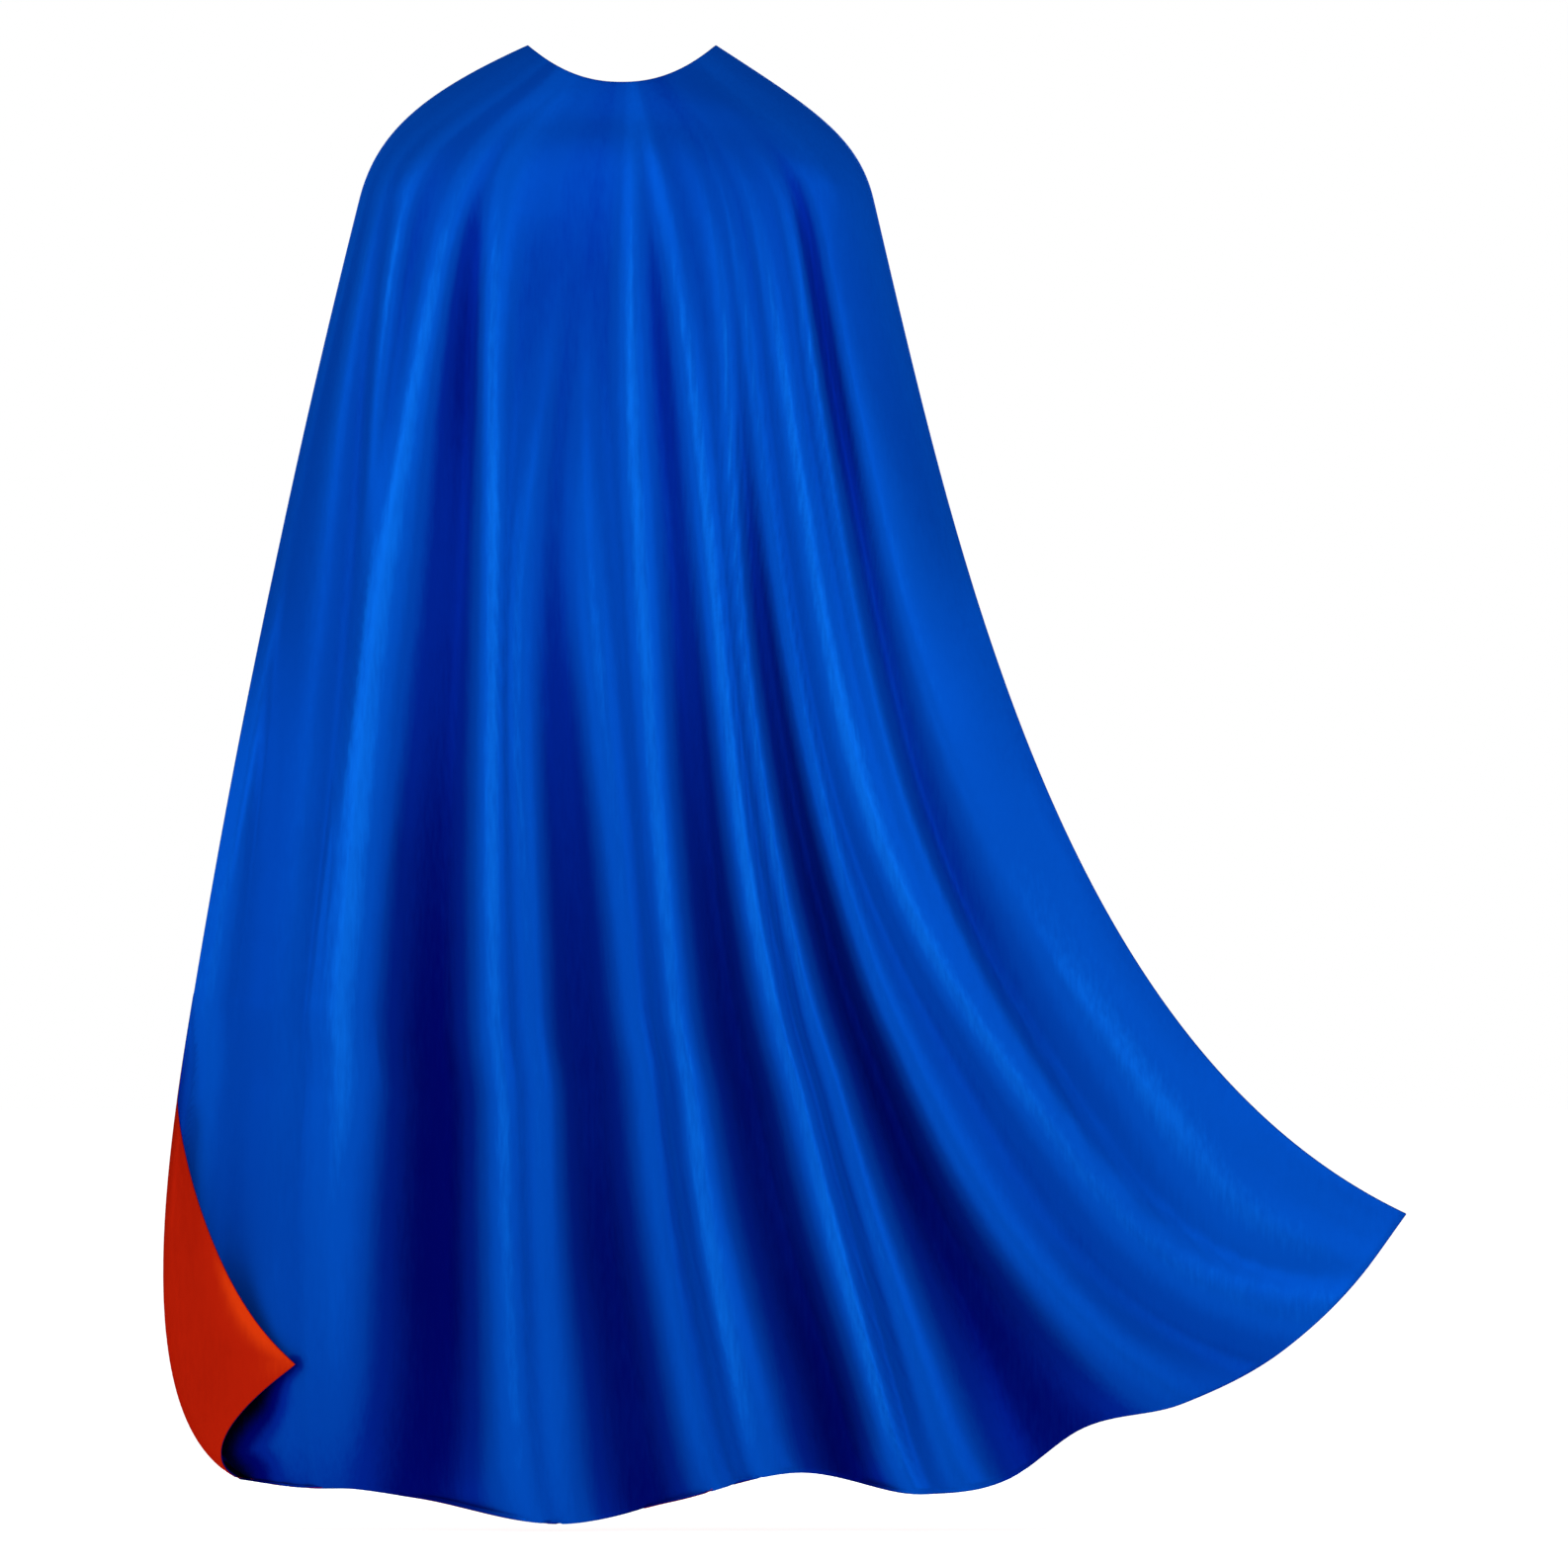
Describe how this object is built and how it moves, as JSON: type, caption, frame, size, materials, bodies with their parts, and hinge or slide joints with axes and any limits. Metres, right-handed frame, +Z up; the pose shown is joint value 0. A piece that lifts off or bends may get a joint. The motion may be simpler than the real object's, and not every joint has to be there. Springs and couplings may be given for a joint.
{
  "type": "superhero cape",
  "caption": "Child's reversible satin cape in its worn shape, blue outside and red inside, with neck straps closed by a hook-and-loop tab and one lower corner turned back.",
  "frame": {"origin": "centre of the flat inner face of the label at the nape, 25 mm below the lowest point of the back neckline", "axes": "+Z up, +Y the way the wearer faces, so the blue outer side of the back faces -Y, and +X the wearer's right"},
  "size_m": [0.5893, 0.1593, 0.7015],
  "materials": {
    "blue_satin": "satin",
    "red_satin": "satin",
    "thread": "matte",
    "interfacing": "matte",
    "hook_and_loop": "matte",
    "label": "satin"
  },
  "bodies": {
    "cape": {"outer_panel": "blue_satin", "lining_panel": "red_satin", "edge_seam_thread": "thread", "neck_interfacing": "interfacing", "care_label": "label", "label_stitch": "thread", "left_strap_stitch": "thread", "right_strap_stitch": "thread"},
    "left_strap": {"left_strap_outer": "blue_satin", "left_strap_lining": "red_satin", "closure_tab_stitch": "thread"},
    "right_strap": {"right_strap_outer": "blue_satin", "right_strap_lining": "red_satin", "loop_pad": "hook_and_loop", "loop_pad_stitch": "thread"},
    "closure_tab": {"closure_tab_outer": "blue_satin", "closure_tab_lining": "red_satin", "hook_pad": "hook_and_loop", "hook_pad_stitch": "thread"}
  },
  "joints": [
    {"name": "left_strap_swing", "type": "hinge", "parent": "cape", "child": "left_strap", "pos_m": [-0.04564, 0.07147, 0.02177], "axis": [0.6106, -0.3565, 0.7071], "range_deg": [0, 120]},
    {"name": "right_strap_swing", "type": "hinge", "parent": "cape", "child": "right_strap", "pos_m": [0.04564, 0.07147, 0.02177], "axis": [0.6106, 0.3565, -0.7071], "range_deg": [0, 120]},
    {"name": "closure_tab_peel", "type": "hinge", "parent": "left_strap", "child": "closure_tab", "pos_m": [-0.00917, 0.09659, -0.01153], "axis": [0.0666, -0.3672, 0.9278], "range_deg": [0, 150]}
  ],
  "couplings": [
    {"joint": "right_strap_swing", "follows": "left_strap_swing", "ratio": 1}
  ]
}
